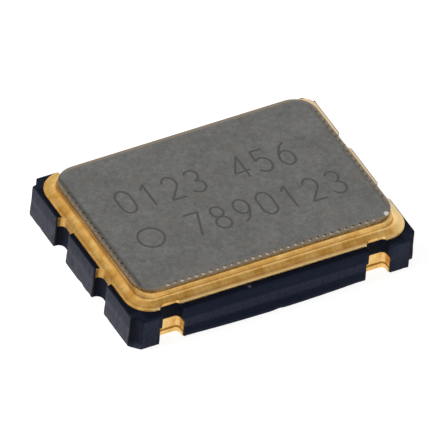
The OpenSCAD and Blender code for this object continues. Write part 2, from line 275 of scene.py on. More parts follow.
alumina = {
    # The corner tone is painted shade, for the punched corners, the notch walls and the top face
    "dark": "#121a2b", "body": "#222d46", "light": "#5a6079", "corner": "#080d1b",
    "leftTint": "#f3e5cd",  # what the warmer light from the left takes out of its blue
    "leftMm": (0.05, 0.1),  # how far in from the left end that fades out
    # Each fade is the range of heights or distances it lies in, and the shares it goes between
    "bandRise": (0.27, 0.35, 0.1, 1.0),  # the snapped face grows light
    "bandFall": (0.49, 0.57, 1.0, 0.1),  # and dark again above
    "paleFoot": (0.1, 0.7, 1.0, 0.45),  # painted light from the floor: the left side grows darker upwards
    "paleEnds": (2.75, 2.95, 0.0, 0.95),  # the front grows paler towards its corners
    "paleTop": (0.76, 0.8, 1.0, 0.0),  # but not at the top
    "patchTone": (0.1, 0.36, 0.35, 1.0),  # what the patches and streaks leave of the light tone
    "grainTone": (0.35, 0.6, 0.55, 0.0),  # how much of the dark tone the grains bring
    "punched": (0.205, 0.235, 0.85, 0.0),  # painted shade on the walls of the punched corners
    "punchedFoot": (0.04, 0.2, 0.35, 1.0),  # less so at the foot
    "recessDeep": (0.02, 0.05, 0.0, 0.85),  # painted shade on the walls of the notches, inwards from the sides
    "recessAway": (0.3, 0.35, 0.0, 1.0),  # and away from the corners
    "topMm": 0.006, "topShade": 0.6,  # depth over which painted shade darkens the top face, and how much
    "nick": "#010103", "nicks": (((-0.825, -2.5, 0.309), 0.035), ((0.07, -2.5, 0.095), 0.03)),
    "speck": "#565a66", "paleSpeck": ((-0.653, -2.424, 0.84), 0.05),
    "grainMm": 0.02,      # alumina grains, drawn coarse so that they show
    "patchMm": 0.25, "patchShare": 0.6,
    "streakMm": 0.06, "streakScale": (1, 1, 0.25),  # upright streaks
    "scoreMm": 0.14,      # height of the smooth scored edge at the foot, painted paler as painted light
    "roughness": (0.5, 0.68),
    "bumpMm": 0.004, "specular": 0.07,
}


def makeAlumina(low):
    # Black co-fired alumina: bluish black, dull where it was snapped and smoother where it was scored
    material, tree, inMm = startMaterial("black co-fired alumina")
    split = addNode(tree, "ShaderNodeSeparateXYZ", (inMm,)).outputs
    height = split["Z"]
    streakPlace = addNode(tree, "ShaderNodeMapping", {
        "Vector": inMm, "Scale": alumina["streakScale"],
    }).outputs[0]
    fine, patch, streak = [addNode(tree, "ShaderNodeTexNoise", {
        "Vector": where, "Scale": 1 / alumina[size], "Detail": detail, "Roughness": share,
    }).outputs["Fac"] for where, size, detail, share in (
        (inMm, "grainMm", 4.0, finerShare), (inMm, "patchMm", 4.0, alumina["patchShare"]),
        (streakPlace, "streakMm", 2.0, finerShare))]
    # Distances in from the ends and from the long sides, and their length tells how near a corner is
    reach, off = [], []
    for axis, size in (("X", baseHigh.x - baseLow.x), ("Y", baseHigh.y - baseLow.y)):
        reach.append(addNode(tree, "ShaderNodeMath", (split[axis],), operation="ABSOLUTE").outputs[0])
        off.append(addNode(tree, "ShaderNodeMath", (size / 2, reach[-1]), operation="SUBTRACT").outputs[0])
    across = addNode(tree, "ShaderNodeCombineXYZ", off).outputs[0]
    away = addNode(tree, "ShaderNodeVectorMath", (across,), operation="LENGTH").outputs["Value"]
    near, far, rough = [
        addNode(tree, "ShaderNodeMath", pair, operation=operation).outputs[0] for pair, operation in (
            (off, "MINIMUM"), (off, "MAXIMUM"), ((patch, streak), "MULTIPLY"))]
    fade = {name: addNode(tree, "ShaderNodeMapRange", (value, *alumina[name])).outputs[0] for value, name in (
        (height, "bandRise"), (height, "bandFall"), (height, "paleFoot"), (reach[0], "paleEnds"),
        (height, "paleTop"), (rough, "patchTone"), (fine, "grainTone"), (away, "punched"),
        (height, "punchedFoot"), (near, "recessDeep"), (far, "recessAway"))}
    foot = addNode(tree, "ShaderNodeMapRange", (height, low, low + alumina["scoreMm"], 1.0, 0.0)).outputs[0]
    leftFrom, leftTo = (baseLow.x + inside for inside in alumina["leftMm"])
    leftSide = addNode(tree, "ShaderNodeMapRange", (split["X"], leftFrom, leftTo, 1.0, 0.0)).outputs[0]
    topFrom, topTo = baseHigh.z - alumina["topMm"], baseHigh.z
    top = addNode(tree, "ShaderNodeMapRange", (height, topFrom, topTo, 0.0, alumina["topShade"])).outputs[0]
    band, leftFoot, ends, punched, recess = [
        addNode(tree, "ShaderNodeMath", pair, operation="MULTIPLY").outputs[0] for pair in (
            (fade["bandRise"], fade["bandFall"]), (fade["paleFoot"], leftSide),
            (fade["paleEnds"], fade["paleTop"]), (fade["punched"], fade["punchedFoot"]),
            (fade["recessDeep"], fade["recessAway"]))]
    ends = addNode(tree, "ShaderNodeMath", (ends, leftSide), operation="SUBTRACT").outputs[0]
    # Painted light on the foot and low on the left side, and the paler ends, lift the tone
    for pale in (foot, leftFoot, ends):
        band = addNode(tree, "ShaderNodeMath", (band, pale), operation="MAXIMUM").outputs[0]
    shade = addNode(tree, "ShaderNodeMath", (band, fade["patchTone"]), operation="MULTIPLY").outputs[0]
    colour = addNode(tree, "ShaderNodeValToRGB", (shade,), stops=[
        (0.0, alumina["body"]), (0.75, alumina["light"]),
    ]).outputs["Color"]
    # Painted shade keeps the punched corners, the bare walls of the notches and the top face darker than the
    # faces
    layers = [(fade["grainTone"], "dark", "MIX"), (leftSide, "leftTint", "MULTIPLY")]
    layers += [(shaded, "corner", "MIX") for shaded in (punched, recess, top)]
    layers += [(spot(tree, inMm, place, radius), "nick", "MIX") for place, radius in alumina["nicks"]]
    layers.append((spot(tree, inMm, *alumina["paleSpeck"]), "speck", "MIX"))
    for share, tone, blend in layers:
        colour = addNode(tree, "ShaderNodeMix", {
            0: share, 6: colour, 7: toLinear(alumina[tone]),
        }, data_type="RGBA", blend_type=blend).outputs[2]
    roughness = addNode(tree, "ShaderNodeMapRange", (patch, *noiseRange, *alumina["roughness"])).outputs[0]
    finishMaterial(tree, colour, roughness, fine, alumina["bumpMm"], Specular_IOR_Level=alumina["specular"])
    return material


gold = {
    "light": "#f2cb80", "body": "#e5b462", "deep": "#cd9742", "hatch": "#b88237",
    "hatchTone": (0.3, 0.55, 0.38, 0.0),  # how much the fine lines darken it
    "hatchRise": 0.15,    # how much those lines change with height, beside along the edge
    "patchMm": 0.28,
    "grainMm": 0.022,     # nodules of the plating, drawn coarse so that they show
    "roughness": (0.36, 0.5),
    "bumpMm": 0.0012,
    "dirt": "#1c1206", "speck": ((0.544, -2.135, 1.061), 0.028),
    # Fades along X, along Y or up from the braze's foot, as the alumina's
    "pale": "#f2e2c3", "paleRight": (3.12, 3.34, 0.0, 0.7),  # painted highlight: paler at the right end
    "paleBack": (-1.9, -1.5, 0.0, 1.0),  # behind its front corner
    "paintedHighlight": "#fbdc9e", "highlightFront": (-2.24, -2.3, 0.0, 0.6),  # painted highlight, brighter along the front edge
    "cornerRight": (3.0, 3.3, 0.0, 0.9), "cornerFront": (-1.3, -1.7, 0.0, 1.0),  # painted highlight at that corner
    "runRise": (0.1, 0.145, 0.0, 0.25), "runFall": (0.165, 0.2, 1.0, 0.0),  # painted highlight where the braze runs out
}


def makeGold(name, look, hatchMm):
    # Soft gold plate over nickel: satin, so it glows where it faces the white card
    material, tree, inMm = startMaterial(name)
    split = addNode(tree, "ShaderNodeSeparateXYZ", (inMm,)).outputs
    across = [addNode(tree, "ShaderNodeMath", (split[axis], size), operation="DIVIDE").outputs[0]
              for axis, size in (("X", landLength), ("Y", landWidth))]
    reach = [addNode(tree, "ShaderNodeMath", (part,), operation="ABSOLUTE").outputs[0] for part in across]
    longSide = addNode(tree, "ShaderNodeMath", (reach[1], reach[0]), operation="GREATER_THAN").outputs[0]
    along = addNode(tree, "ShaderNodeMix", {
        "Factor": longSide, "A": split["Y"], "B": split["X"],
    }).outputs["Result"]
    lower = addNode(tree, "ShaderNodeMath", (split["Z"], look["hatchRise"]), operation="MULTIPLY").outputs[0]
    hatchPlace = addNode(tree, "ShaderNodeCombineXYZ", {"X": along, "Z": lower}).outputs[0]
    # The hatch is of fine lines square to the edge of the seal
    patch, fine, hatch = [addNode(tree, "ShaderNodeTexNoise", {
        "Vector": where, "Scale": 1 / size, "Detail": detail, "Roughness": finerShare,
    }).outputs["Fac"] for where, size, detail in (
        (inMm, look["patchMm"], 3.0), (inMm, look["grainMm"], 3.0), (hatchPlace, hatchMm, 2.0))]
    above = addNode(tree, "ShaderNodeMath", (split["Z"], brazeLow.z), operation="SUBTRACT").outputs[0]
    fade = {name: addNode(tree, "ShaderNodeMapRange", (value, *look[name])).outputs[0] for value, name in (
        (hatch, "hatchTone"), (split["X"], "paleRight"), (split["Y"], "paleBack"),
        (split["Y"], "highlightFront"), (split["X"], "cornerRight"), (split["Y"], "cornerFront"),
        (above, "runRise"), (above, "runFall"))}
    # Painted highlights: the pale right end, and the front edge, the right front corner and the braze's top
    # in the highlight colour
    rightEndHighlight, corner, runOut = [
        addNode(tree, "ShaderNodeMath", (fade[one], fade[other]), operation="MULTIPLY").outputs[0]
        for one, other in (("paleRight", "paleBack"), ("cornerRight", "cornerFront"), ("runRise", "runFall"))]
    paintedHighlight = fade["highlightFront"]
    for brighter in (corner, runOut):
        paintedHighlight = addNode(tree, "ShaderNodeMath", (paintedHighlight, brighter), operation="MAXIMUM").outputs[0]
    colour = addNode(tree, "ShaderNodeValToRGB", (patch,), stops=[
        (0.3, look["deep"]), (0.5, look["body"]), (0.72, look["light"]),
    ]).outputs["Color"]
    speck = spot(tree, inMm, *look["speck"])
    for share, tone in ((fade["hatchTone"], "hatch"), (rightEndHighlight, "pale"), (paintedHighlight, "paintedHighlight"), (speck, "dirt")):
        colour = addNode(tree, "ShaderNodeMix", {
            0: share, 6: colour, 7: toLinear(look[tone]),
        }, data_type="RGBA").outputs[2]
    roughness = addNode(tree, "ShaderNodeMapRange", (fine, *noiseRange, *look["roughness"])).outputs[0]
    height = addNode(tree, "ShaderNodeMath", (fine, hatch), operation="ADD").outputs[0]
    finishMaterial(tree, colour, roughness, height, look["bumpMm"], Metallic=1.0)
    return material


nickel = {
    "dark": "#6b6b69", "body": "#7c7c79", "light": "#8d8d8b",
    "warm": "#837c77", "warmTone": (0.5, 0.7, 0.0, 0.5),  # warmer clouds, and how strong they are
    "warmScale": 0.6, "warmShift": (3.1, 1.7, 0.4),  # their size beside the patches', and their place
    "patchMm": 0.5, "patchShare": 0.6, "cloudMm": 0.11,
    "mottle": (0.6, 0.45),    # share of the clouds in the mottle, and then of the grain
    "grainMm": 0.035,     # rolled and plated grain, drawn coarse so that it shows
    "roughness": (0.42, 0.55),
    "bumpMm": 0.0012,
    "rimColour": "#978976",
    "rimMm": (0.13, 0.045),   # where the burnished outer rim fades in, inside the edge
    "wobbleMm": (-0.008, 0.008),  # how unevenly
    "tint": "#37312a",
    "tintMm": (0.05, 0.08, 0.12, 0.185),  # painted shade: a dark line behind the rim of the short sides
    "tintStrength": (0.5, 0.22),  # at the left and the right end
    # A painted highlight near the lid's right front corner
    "bright": "#ebe6dd", "brightSpot": ((2.96, -1.94, 1.25), 0.08),
}


def makeNickel(length, width, middle, turn):
    # Matt nickel plate on rolled alloy sheet: an even grey with faint clouds, burnished at the rolled rim
    material, tree, inMm = startMaterial("matt nickel plate")
    shifted = addNode(tree, "ShaderNodeMapping", {"Vector": inMm, "Location": nickel["warmShift"]}).outputs[0]
    patch, fine, warm, cloud = [addNode(tree, "ShaderNodeTexNoise", {
        "Vector": where, "Scale": 1 / size, "Detail": detail, "Roughness": share,
    }).outputs["Fac"] for where, size, detail, share in (
        (inMm, nickel["patchMm"], 4.0, nickel["patchShare"]), (inMm, nickel["grainMm"], 3.0, finerShare),
        (shifted, nickel["patchMm"] * nickel["warmScale"], 2.0, finerShare),
        (inMm, nickel["cloudMm"], 3.0, finerShare))]
    mottle = patch
    for share, other in zip(nickel["mottle"], (cloud, fine)):
        mottle = addNode(tree, "ShaderNodeMix", {"Factor": share, "A": mottle, "B": other}).outputs["Result"]
    colour = addNode(tree, "ShaderNodeValToRGB", (mottle,), stops=[
        (0.38, nickel["dark"]), (0.5, nickel["body"]), (0.62, nickel["light"]),
    ]).outputs["Color"]
    fromMiddle = addNode(tree, "ShaderNodeMapping", {
        "Vector": inMm, "Location": (*middle, 0), "Rotation": (0, 0, turn),
    }, vector_type="TEXTURE").outputs[0]
    split = addNode(tree, "ShaderNodeSeparateXYZ", (fromMiddle,)).outputs
    inside = []
    for axis, size in (("X", length), ("Y", width)):
        along = addNode(tree, "ShaderNodeMath", (split[axis],), operation="ABSOLUTE").outputs[0]
        inside.append(addNode(tree, "ShaderNodeMath", (size / 2, along), operation="SUBTRACT").outputs[0])
    edge = addNode(tree, "ShaderNodeMath", inside, operation="MINIMUM").outputs[0]
    wobble = addNode(tree, "ShaderNodeMapRange", (fine, *noiseRange, *nickel["wobbleMm"])).outputs[0]
    edge = addNode(tree, "ShaderNodeMath", (edge, wobble), operation="ADD").outputs[0]
    layers = [
        (addNode(tree, "ShaderNodeMapRange", (warm, *nickel["warmTone"])).outputs[0], "warm"),
        (addNode(tree, "ShaderNodeMapRange", (edge, *nickel["rimMm"], 0.0, 1.0)).outputs[0], "rimColour"),
    ]
    # Painted shade lines behind the rolled rim at each end
    riseFrom, riseTo, fallFrom, fallTo = nickel["tintMm"]
    for sign, strength in zip((1, -1), nickel["tintStrength"]):
        fromEnd = addNode(tree, "ShaderNodeMath", (
            split["X"], sign, length / 2,
        ), operation="MULTIPLY_ADD").outputs[0]
        fadeIn = addNode(tree, "ShaderNodeMapRange", (fromEnd, riseFrom, riseTo, 0.0, strength)).outputs[0]
        fadeOut = addNode(tree, "ShaderNodeMapRange", (fromEnd, fallFrom, fallTo, 1.0, 0.0)).outputs[0]
        line = addNode(tree, "ShaderNodeMath", (fadeIn, fadeOut), operation="MULTIPLY").outputs[0]
        layers.append((line, "tint"))
    # Painted highlight near the right front corner
    layers.append((spot(tree, inMm, *nickel["brightSpot"]), "bright"))
    for share, tone in layers:
        colour = addNode(tree, "ShaderNodeMix", {
            0: share, 6: colour, 7: toLinear(nickel[tone]),
        }, data_type="RGBA").outputs[2]
    roughness = addNode(tree, "ShaderNodeMapRange", (fine, *noiseRange, *nickel["roughness"])).outputs[0]
    finishMaterial(tree, colour, roughness, fine, nickel["bumpMm"], Metallic=1.0)
    return material


def makeSimple(name, colours, grainMm, roughness, bumpMm, endColours=(), **constants):
    # Two or three tones of one stuff, clouded by its own grain, and others from the left end to the right
    material, tree, inMm = startMaterial(name)
    fine = addNode(tree, "ShaderNodeTexNoise", {
        "Vector": inMm, "Scale": 1 / grainMm, "Detail": 3.0, "Roughness": finerShare,
    }).outputs["Fac"]
    least, most = noiseRange
    places = [least + (most - least) * i / (len(colours) - 1) for i in range(len(colours))]
    colour = addNode(tree, "ShaderNodeValToRGB", (fine,), stops=zip(places, colours)).outputs["Color"]
    fades = ((-2.85, -2.95), (0.3, 2.0), (2.65, 2.8))  # where along the part each of them fades in
    for endColour, fade in zip(endColours, fades):
        along = addNode(tree, "ShaderNodeSeparateXYZ", (inMm,)).outputs["X"]
        colour = addNode(tree, "ShaderNodeMix", {
            0: addNode(tree, "ShaderNodeMapRange", (along, *fade, 0.0, 1.0)).outputs[0],
            6: colour, 7: toLinear(endColour),
        }, data_type="RGBA").outputs[2]
    dullness = addNode(tree, "ShaderNodeMapRange", (fine, *noiseRange, *roughness)).outputs[0]
    finishMaterial(tree, colour, dullness, fine, bumpMm, **constants)
    return material


baseLow, baseHigh = boxMm("ceramic_base")
landLow, landHigh = boxMm("seal_land")
landLength, landWidth = landHigh.x - landLow.x, landHigh.y - landLow.y
brazeLow = boxMm("seal_braze")[0]
ringLow, ringHigh = boxMm("seal_ring")
lidLow, lidHigh = boxMm("lid")
padLow, padHigh = boxMm("terminal_1")
sideLow, sideHigh = boxMm("side_terminal_1")
notchX = abs(padLow.x + padHigh.x) / 2
sideNotchY = abs(sideLow.y + sideHigh.y) / 2
shelfZ = sideLow.z
# The weld rolled the lid's edge out a little
lidLength, lidWidth = lidHigh.x - lidLow.x + 0.079, lidHigh.y - lidLow.y + 0.015

blackAlumina = makeAlumina(baseLow.z)
goldPlate = makeGold("soft gold plate", gold, 0.05)
ringGold = makeGold("gold plate on drawn alloy ring", dict(
    gold, light="#e8c47e", body="#dbb067", deep="#ca9a4e", roughness=(0.34, 0.46)), 0.03)
# In the solder notches the plate is painted brighter, a painted reflection of the white card they face, and
# dull only in the seam between two layers
noFrontHighlight = dict(gold, highlightFront=(-2.24, -2.3, 0.0, 0.0))
notchGoldPaintedBright = makeGold("notch gold plate painted bright", dict(
    noFrontHighlight, light="#f8db98", body="#f1c87d", deep="#e2b466", hatch="#cf9c52"), 0.05)
dullGold = makeGold("dull gold plate", dict(
    noFrontHighlight, light="#b98838", body="#a37324", deep="#8b5f1b", hatch="#764d15"), 0.05)
lidMiddle = (0.0075, 0.0425)  # the lid was laid on a little off centre and aslant
lidTurn = math.radians(0.4)
nickelPlate = makeNickel(lidLength, lidWidth, lidMiddle, lidTurn)
# Weld side: nickel and gold run together, browned by the heat
weldScale = makeSimple("browned weld metal", ("#6d5230", "#8a7048", "#a08560"), 0.05, (0.4, 0.52), 0.002,
                       Metallic=1.0)
# Rolled spots: nickel pressed smooth by the electrode, painted bright as painted highlights
burnished = makeSimple("burnished nickel with painted highlight", ("#b0a394", "#c6bbae", "#d9d1c7"), 0.03, (0.34, 0.46), 0.001,
                       ("#86796a", "#b1a597", "#8b7f70"), Metallic=1.0)
# Heat tint and painted shade: the dark dimple that each welding pulse leaves
heatTintAndShade = makeSimple("heat-tinted nickel with painted shade", ("#6a635b", "#777068", "#827b73"), 0.03, (0.45, 0.6), 0.001,
                      ("#403933", "#403933", "#595047"), Metallic=0.9)
# Laser mark: nickel oxidised a little darker than the plate round it
laserMark = makeSimple("laser-darkened nickel", ("#5c5c5a", "#666664", "#70706e"), 0.03, (0.5, 0.65), 0.001,
                       Metallic=1.0)
print("outer materials ready")


# Shapes

def makePiece(name, parts):
    # Joins closed shells, each given as points and faces, into one object
    points, faces = [], []
    for partPoints, partFaces in parts:
        start = len(points)
        points += partPoints
        faces += [[start + i for i in face] for face in partFaces]
    mesh = bpy.data.meshes.new(name)
    mesh.from_pydata(points, [], faces)
    clean = bmesh.new()
    clean.from_mesh(mesh)
    bmesh.ops.remove_doubles(clean, verts=clean.verts, dist=1e-5)
    bmesh.ops.recalc_face_normals(clean, faces=clean.faces)
    clean.to_mesh(mesh)
    clean.free()
    piece = bpy.data.objects.new(name, mesh)
    bpy.context.scene.collection.objects.link(piece)
    return piece


def bakeModifiers(piece):
    bpy.context.view_layer.update()
    ready = piece.evaluated_get(bpy.context.evaluated_depsgraph_get())
    mesh = bpy.data.meshes.new_from_object(ready)
    piece.modifiers.clear()
    piece.data = mesh
    mesh.name = piece.name


def cutAway(piece, cutters):
    for cutter in cutters:
        cut = piece.modifiers.new("cut", "BOOLEAN")
        cut.operation = "DIFFERENCE"
        cut.solver = "EXACT"
        cut.object = cutter
        bakeModifiers(piece)
    for cutter in cutters:
        bpy.data.objects.remove(cutter)


def layOnSeal(piece):
    piece.data.transform(Matrix.Translation((*lidMiddle, 0)) @ Matrix.Rotation(lidTurn, 4, "Z"))
    return piece


def finishPiece(piece, material, replaced=(), sharpAbove=35):
    mesh = piece.data
    mesh.transform(Matrix.Scale(toMetres, 4))
    mesh.materials.append(material)
    mesh.shade_smooth()
    mesh.set_sharp_from_angle(angle=math.radians(sharpAbove))
    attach(piece, "root")
    if replaced:
        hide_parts(*replaced)
    return piece


def stack(loops, closed=False):
    # Skin over loops of equally many points, from the bottom up; a closed one comes back to its first loop
    count = len(loops[0])
    points = [tuple(point) for loop in loops for point in loop]
    faces = []
    for level in range(len(loops) if closed else len(loops) - 1):
        here, above = level * count, (level + 1) % len(loops) * count
        for i in range(count):
            after = (i + 1) % count
            faces.append([here + i, here + after, above + after, above + i])
    if not closed:
        faces.append(list(reversed(range(count))))
        faces.append([len(points) - count + i for i in range(count)])
    return points, faces


def roundLoop(length, width, radii, z, arcSteps=16, spacing=None):
    # Rectangle with round corners, anticlockwise from above; spacing puts points along its sides
    if not isinstance(radii, tuple):
        radii = (radii,) * 4
    loop = []
    for quarter, (sx, sy) in enumerate([(1, -1), (1, 1), (-1, 1), (-1, -1)]):
        radius = radii[quarter]
        centre = Vector((sx * (length / 2 - radius), sy * (width / 2 - radius), z))
        for step in range(arcSteps + 1):
            angle = math.radians(90 * (quarter - 1) + 90 * step / arcSteps)
            loop.append(centre + radius * Vector((math.cos(angle), math.sin(angle), 0)))
        if spacing:
            # Rounded, so that every loop of a stack gets equally many points
            run = round((width if quarter % 2 == 0 else length) - 2 * radius, 5)
            angle = math.radians(90 * (quarter + 1))
            heading = Vector((math.cos(angle), math.sin(angle), 0))
            count = round(run / spacing)
            last = loop[-1]
            loop += [last + heading * run * i / count for i in range(1, count)]
    return loop


def turnPath(corners, turnSteps=5):
    # Points along a path that turns at right angles; each corner has its own radius, and 0 is a plain point
    points = []
    for i, (x, y, radius) in enumerate(corners):
        here = Vector((x, y))
        if not radius:
            points.append(here)
            continue
        into = (here - Vector(corners[i - 1][:2])).normalized()
        out = (Vector(corners[(i + 1) % len(corners)][:2]) - here).normalized()
        centre = here + radius * (out - into)
        for step in range(turnSteps + 1):
            angle = math.radians(90 * step / turnSteps)
            points.append(centre + radius * (into * math.sin(angle) - out * math.cos(angle)))
    return points


# Ceramic body: its notches come from above as measured, its outer sizes from the frame
body = {
    "cornerRadius": 0.2,
    "softEdge": 0.012,            # how round the fired edges are
    "scoreLow": 0.004, "scoreTop": 0.006,  # how far the scored edges stand in, below and on top
    "scoreHigh": 0.1,
    "lowNotch": (0.61, 0.27),     # width and depth of the plated notches in the lower layers
    "highNotch": (0.52, 0.24),    # and of the bare ones above them
    "notchRadius": 0.12,
    "sideNotch": (0.57, 0.21), "sideNotchRadius": 0.15,
    "spacing": 0.06,              # between points along the side faces
    "snapRough": 0.006,           # how far the snapped faces wander
    "scoreRough": 0.0015,
    "chip": 0.014,                # depth of the small chips on the lower edge
    "flare": 0.015,               # how far the lower layers stand out
    "belly": (0.055, 2.0),        # how much further their front face does, and how far from its middle
    "burr": (0.1, 0.2),           # heights up to which a burr fills the marked corner, fully and at all
}
bodyLength, bodyWidth = baseHigh.x - baseLow.x, baseHigh.y - baseLow.y


def ofSide(side, along, inward):
    # A point on one of the four sides, front first and then anticlockwise, from its middle
    angle = math.radians(90 * side)
    heading = Vector((math.cos(angle), math.sin(angle)))
    inwards = Vector((-heading.y, heading.x))
    reach = (bodyLength if side % 2 else bodyWidth) / 2
    return heading * along - inwards * (reach - inward)


def bodyOutline(inset, frontNotch):
    soft = body["softEdge"]
    widest = body["lowNotch"][0]
    corners = []
    for side in range(4):
        length = bodyWidth if side % 2 else bodyLength
        middle = sideNotchY if side % 2 else notchX
        width, depth = body["sideNotch"] if side % 2 else frontNotch
        radius = body["sideNotchRadius"] if side % 2 else body["notchRadius"]
        end = length / 2 - body["cornerRadius"]
        keepOut = widest / 2 + 2 * soft
        path = [(-end, inset, soft)]
        grid = [i * body["spacing"] for i in range(-200, 201)]
        stretches = [(-end + 2 * soft, -middle - keepOut), (-middle + keepOut, middle - keepOut),
                     (middle + keepOut, end - 2 * soft)]
        for k, (start, stop) in enumerate(stretches):
            path += [(u, inset, 0) for u in grid if start < u < stop]
            if k < 2:
                centre = (-middle, middle)[k]
                left, right = centre - width / 2, centre + width / 2
                path += [(left, inset, soft), (left, depth, radius),
                         (right, depth, radius), (right, inset, soft)]
        path.append((end, inset, soft))
        path.append((end, body["cornerRadius"], body["cornerRadius"] - inset - soft))
        corners += [(*ofSide(side, u, v), r) for u, v, r in path]
    return turnPath(corners)


def roughened(point, z, amount, chips, belly):
    # Side faces wander inwards by an even noise, and chip here and there at the lower edge
    x, y = point
    gapX, gapY = bodyLength / 2 - abs(x), bodyWidth / 2 - abs(y)
    limit = body["scoreTop"] + 2 * body["softEdge"]
    here = Vector((x, y, z))
    depth = amount * (0.3 + noise.noise(here * 9) * 0.7 + noise.noise(here * 31) * 0.3)
    depth += chips * max(0.0, noise.noise(here * 5 + Vector((7, 3, 1))) - 0.28) * 2.5
    if gapX < limit:
        x -= math.copysign(depth, x)
    if gapY < limit:
        y -= math.copysign(depth, y)
        if y < 0:
            y -= belly * max(0.0, 1 - (x / body["belly"][1]) ** 2)
    hollow = gapX + gapY - body["cornerRadius"]
    if hollow > 0 and max(gapX, gapY) < body["cornerRadius"] and x < 0 and y < 0:
        full, none = body["burr"]
        fill = hollow / 2 * min(1.0, max(0.0, (none - z) / (none - full)))
        x, y = x - fill, y - fill
    return Vector((x, y, z))


def makeBody():
    low, high = baseLow.z, baseHigh.z
    soft, scoreHigh = body["softEdge"], body["scoreHigh"]
    scoreLow, scoreTop = body["scoreLow"], body["scoreTop"]
    snapLow, snapHigh = low + scoreHigh, high - scoreHigh
    flare = body["flare"]
    levels = [(low, scoreLow + 0.6 * soft - flare), (low + 0.6 * soft, scoreLow - flare), (snapLow, -flare)]
    count = 5
    for i in range(1, count + 1):
        turn = 0.5 + 0.5 * math.cos(math.pi * i / count)
        levels.append((snapLow + (shelfZ - snapLow) * i / count, -flare * turn))
    split = len(levels)
    levels += [(shelfZ + (snapHigh - shelfZ) * i / count, 0) for i in range(count + 1)]
    levels += [(high - scoreHigh / 2, scoreTop / 2), (high - 0.6 * soft, scoreTop),
               (high, scoreTop + 0.6 * soft)]
    loops = []
    for k, (z, inset) in enumerate(levels):
        outline = bodyOutline(inset, body["lowNotch"] if k < split else body["highNotch"])
        snapped = snapLow < z < snapHigh
        rough = body["snapRough"] if snapped else body["scoreRough"]
        chips = body["chip"] if z < snapLow else 0
        belly = body["belly"][0] * min(1.0, max(0.0, (shelfZ - z) / (shelfZ - snapLow)))
        loops.append([roughened(point, z, rough, chips, belly) for point in outline])
    return makePiece("ceramic_body", [stack(loops)])


def makePrism(name, length, width, radius, low, high, x=0, steps=8):
    shift = Vector((x, 0, 0))
    loops = [[point + shift for point in roundLoop(length, width, radius, z, steps)] for z in (low, high)]
    return makePiece(name, [stack(loops)])


cavity = {
    "walls": (0.75, 0.8), "radius": 0.25,
    "shelf": 0.7,                 # width of the shelf that carries the crystal
    "well": (2.4, 1.9), "wellRadius": 0.12, "wellX": 0.2,
}


def cavityCutters():
    length, width = bodyLength - 2 * cavity["walls"][0], bodyWidth - 2 * cavity["walls"][1]
    crystalShelf = boxMm("crystal_land_1")[0].z
    wellFloor = boxMm("chip_land")[0].z
    top = baseHigh.z + 0.2
    shelf = cavity["shelf"]
    return [
        makePrism("cavityTop", length, width, cavity["radius"], crystalShelf, top),
        makePrism("cavityMiddle", length - shelf, width, cavity["radius"], shelfZ, top, shelf / 2),
        makePrism("cavityWell", *cavity["well"], cavity["wellRadius"], wellFloor, top, cavity["wellX"]),
    ]


ceramicBody = makeBody()
cutAway(ceramicBody, cavityCutters())
finishPiece(ceramicBody, blackAlumina, ["ceramic_base"])
print("ceramic body:", len(ceramicBody.data.polygons), "faces")


# Solder notches: gold lining with the seam between two layers, and the pad under it
plating = {
    "thick": 0.02, "edge": 0.04,
    "seam": (0.095, 0.16), "seamDeep": 0.004,  # seam between two ceramic layers, above the body's underside
    "pad": (1.4, 1.1),
    "sideRise": 0.13,             # bare ceramic below the gold of the side notches
}


def liningPath(size, radius, inset):
    # The lining's path round the back of a notch, set in from the ceramic, along the side and inwards from it
    width, depth = size
    half, back = width / 2 - inset, depth - inset
    return turnPath([
        (-half, plating["edge"], 0), (-half, back, radius - inset),
        (half, back, radius - inset), (half, plating["edge"], 0),
    ], 10)


def placed(path, side, middle, z):
    return [(*ofSide(side, middle + point.x, point.y), z) for point in path]


def liningShell(size, radius, section, side, middle):
    # Section points are depth of plating and height; the last joins the first, and both ends are capped
    strips = [placed(liningPath(size, radius, inset), side, middle, z) for inset, z in section]
    count = len(strips[0])
    points = [point for strip in strips for point in strip]
    faces = []
    for k in range(len(strips)):
        here, following = k * count, (k + 1) % len(strips) * count
        faces += [[here + i, here + i + 1, following + i + 1, following + i] for i in range(count - 1)]
    faces.append([k * count for k in range(len(strips))])
    faces.append([k * count + count - 1 for k in range(len(strips))])
    return points, faces


def padShell(side, middle):
    length, depth = plating["pad"]
    edge = plating["edge"]
    lap = 0.001  # the pad reaches just under the lining
    notch = liningPath(body["lowNotch"], body["notchRadius"], plating["thick"] - lap)
    path = [Vector((-length / 2, edge)), *notch, Vector((length / 2, edge)),
            Vector((length / 2, edge + depth)), Vector((-length / 2, edge + depth))]
    return stack([placed(path, side, middle, z) for z in (padLow.z, baseLow.z)])


def makeTerminal(number, side, middle):
    low, thick = baseLow.z, plating["thick"]
    seamLow, seamHigh = (low + rise for rise in plating["seam"])
    deep = thick - plating["seamDeep"]
    section = [(0, low), (thick, low), (thick, seamLow), (deep, seamLow), (deep, seamHigh),
               (thick, seamHigh), (thick, shelfZ), (0, shelfZ)]
    lining = liningShell(body["lowNotch"], body["notchRadius"], section, side, middle)
    terminal = makePiece(f"solder_notch_{number}", [lining, padShell(side, middle)])
    for face in terminal.data.polygons:
        face.material_index = 1 if seamLow < face.center.z < seamHigh and len(face.vertices) == 4 else 0
    finishPiece(terminal, notchGoldPaintedBright, [f"terminal_{number}"])
    terminal.data.materials.append(dullGold)


def makeSideTerminal(number, side, middle):
    thick = plating["thick"]
    low, high = shelfZ + plating["sideRise"], baseHigh.z
    section = [(0, low), (thick, low), (thick, high), (0, high)]
    shell = liningShell(body["sideNotch"], body["sideNotchRadius"], section, side, middle)
    terminal = makePiece(f"side_notch_{number}", [shell])
    finishPiece(terminal, goldPlate, [f"side_terminal_{number}"])


